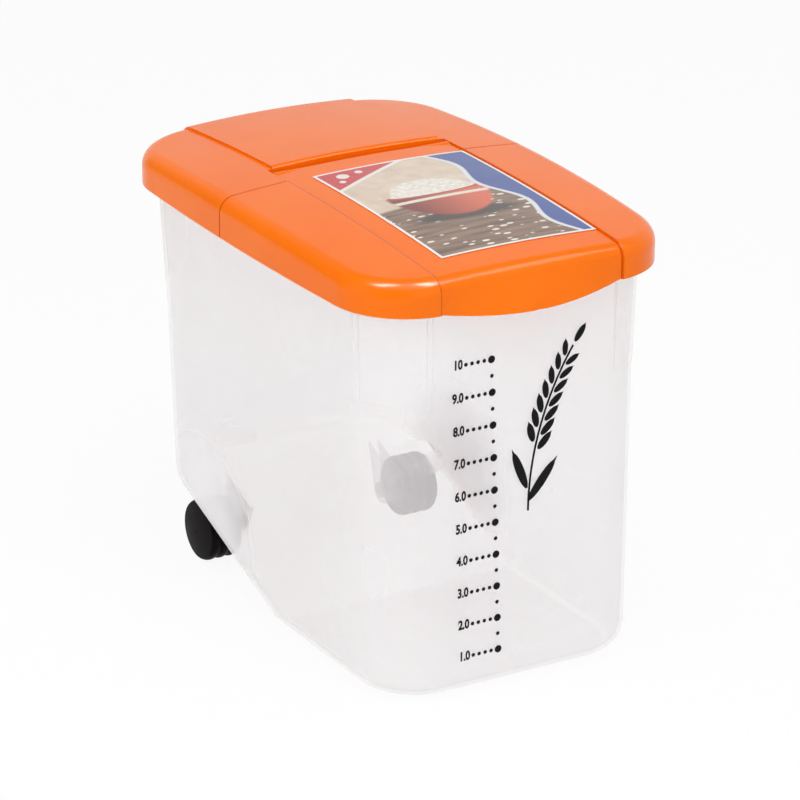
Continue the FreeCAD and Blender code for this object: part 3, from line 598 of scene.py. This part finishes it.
bpy.ops.object.select_all(action="DESELECT")
bpy.ops.mesh.primitive_circle_add(vertices=GRAIN_CORNERS, radius=GRAIN_LONG * MM, fill_type="NGON")
kernel = bpy.context.object
bpy.ops.object.mode_set(mode="EDIT")
bpy.ops.mesh.select_mode(type="VERT")
bpy.ops.mesh.select_all(action="SELECT")
bpy.ops.transform.resize(value=(GRAIN_SLIM, 1, 1))
pick(kernel, lambda co: co.y > (GRAIN_LONG - TOUCH) * MM)
bpy.ops.transform.translate(value=(0, GRAIN_TIP * MM, 0))
bpy.ops.object.mode_set(mode="OBJECT")
print("grain of", len(kernel.data.vertices), "corners,", 2 * GRAIN_LONG + GRAIN_TIP, "mm long")


def laid_grain(share, aside, lean, size):
    """A copy of the kernel beside the stem, leaning outwards from it, in degrees."""
    twin = kernel.copy()
    twin.data = kernel.data.copy()
    bpy.context.collection.objects.link(twin)
    tilt = math.radians(STEM_SWEEP * share + lean)
    twin.data.transform(Matrix.Translation(along_stem(share, aside))
                        @ Matrix.Rotation(math.pi / 2, 4, "X") @ Matrix.Rotation(-tilt, 4, "Z")
                        @ Matrix.Diagonal((*size, 1, 1)))
    return twin


# %% Ear of rice
EAR_ROWS, EAR_START, EAR_STEP, EAR_SHRINK = 7, 0.42, 0.085, 0.035
EAR_ASIDE, EAR_LEAN, EAR_STAGGER = 5.6, 30, 0.042

grains = [laid_grain(1.085, 0, 0, (0.9, 0.95))]
for row in range(EAR_ROWS):
    share, size = EAR_START + EAR_STEP * row, 1 - EAR_SHRINK * row
    grains.append(laid_grain(share, EAR_ASIDE * size, EAR_LEAN, (size, size)))
    grains.append(laid_grain(share + EAR_STAGGER, -EAR_ASIDE * size, -EAR_LEAN, (size, size)))
leaves = [laid_grain(0.17, 8.6, 33, (1.25, 2.3)), laid_grain(0.24, -8.2, -30, (1.15, 2.1))]
bpy.data.objects.remove(kernel)
print_on_wall("rice_ear", [stem] + grains + leaves)

# %% [markdown]
# ## The studio
# The bin stands in a white room. The floor could be lit until it is white, but that would bleach
# the bin. So it is pale paper that shows itself as nearly white to the camera and to mirrored or
# refracted rays only, and still takes the bin's shadow. It lies a hair below the bin, so that
# the two faces don't fight.

# %% Floor
FLOOR_SIDE, FLOOR_DROP, GLOW_SHARE = 12, 0.2 * MM, 0.92


def seen_rays(material):
    """One for rays that show a background: straight from the camera, mirrored or refracted."""
    path = node(material, "LightPath")
    total = path.outputs["Is Camera Ray"]
    for name in ("Is Glossy Ray", "Is Transmission Ray"):
        total = sum_of(material, "MAXIMUM", total, path.outputs[name])
    return total


bpy.ops.object.select_all(action="DESELECT")
bpy.ops.mesh.primitive_plane_add(size=FLOOR_SIDE, location=(0, 0, cad_low[2] - FLOOR_DROP))
floor = bpy.context.object
floor.name = "studio_floor"
paper, paper_shader = start_finish("studio_paper", Roughness=0.9, Base_Color=(0.9, 0.9, 0.9, 1))
glow = node(paper, "Emission", ("Color", (1, 1, 1, 1)), ("Strength", 1.0))
share = sum_of(paper, "MULTIPLY", seen_rays(paper), GLOW_SHARE)
mixed = node(paper, "MixShader", (0, share), (1, paper_shader.outputs[0]), (2, glow.outputs[0]))
link(paper, mixed.outputs[0], paper.node_tree.nodes["Material Output"].inputs["Surface"])
floor.data.materials.append(paper)
print("floor at", round(floor.location.z / MM, 1), "mm")

# %% [markdown]
# The world lights the bin evenly from all round, and the camera sees it as plain white. In
# mirrored rays the horizon is white too, but higher up and to the left the room is dimmer, so
# that the rounded edges of the lid mirror something darker than its top does. A picture of a
# real studio could give that; two soft ramps need no file.

# %% World
ROOM_LIGHT, DIM_ROOM = 0.51, 0.15
CEILING, LEFT_WALL = (0.55, 0.75), (-0.40, -0.05)

world = bpy.context.scene.world or bpy.data.worlds.new("studio")
bpy.context.scene.world = world
world.use_nodes = True
background = world.node_tree.nodes["Background"]
background.inputs["Color"].default_value = (1, 1, 1, 1)
towards = parts_of(world, node(world, "TexCoord").outputs["Generated"])
ceiling = between(world, towards["Z"], 1.0, DIM_ROOM, *CEILING)
left_wall = between(world, towards["X"], DIM_ROOM, 1.0, *LEFT_WALL)
in_mirrors = sum_of(world, "MINIMUM", ceiling, left_wall)
straight = node(world, "LightPath").outputs["Is Camera Ray"]
shown = sum_of(world, "MAXIMUM", in_mirrors, straight)
strength = between(world, seen_rays(world), ROOM_LIGHT, shown, 0, 1)
link(world, strength, background.inputs["Strength"])
print("world light", ROOM_LIGHT)

# %% [markdown]
# Three large soft lamps do the lighting. Two of them would glare in the lid when the bin is seen
# from the side, so they don't show in gloss. The gleams on the lid come from three smaller lamps
# that show in gloss only. One set of lamps could do both, but bright enough for the gleams it
# would bleach the bin.

# %% Lamps
LID, BIN = (0, 0, 0.28), (0, 0, 0.15)


def softbox(name, place, aim, size, power, lights=True, gleams=True):
    """A rectangular lamp turned to face a point; it lights, gleams in gloss, or both."""
    bpy.ops.object.light_add(type="AREA", location=place)
    lamp = bpy.context.object
    lamp.name = name
    lamp.data.shape = "RECTANGLE"
    lamp.data.size, lamp.data.size_y = size
    lamp.data.energy = power
    lamp.rotation_euler = (Vector(aim) - Vector(place)).to_track_quat("-Z", "Y").to_euler()
    lamp.visible_diffuse, lamp.visible_glossy = lights, gleams
    print(name, power, "W")


softbox("lamp_above", (-0.1, -0.55, 1.7), BIN, (1.2, 1.2), 12.5)
softbox("lamp_left", (-1.7, 0.1, 0.7), BIN, (1.0, 1.2), 8, gleams=False)
softbox("lamp_front", (-0.3, -2.0, 0.9), BIN, (1.0, 1.0), 8.5, gleams=False)
softbox("gleam_left", (-0.56, -0.10, 1.61), LID, (0.22, 0.6), 30, lights=False)
softbox("gleam_middle", (0.17, -0.54, 1.61), LID, (0.22, 0.6), 36, lights=False)
softbox("gleam_right", (0.75, -0.56, 1.5), LID, (0.6, 0.5), 8, lights=False)
bpy.context.scene.view_settings.view_transform = "Standard"
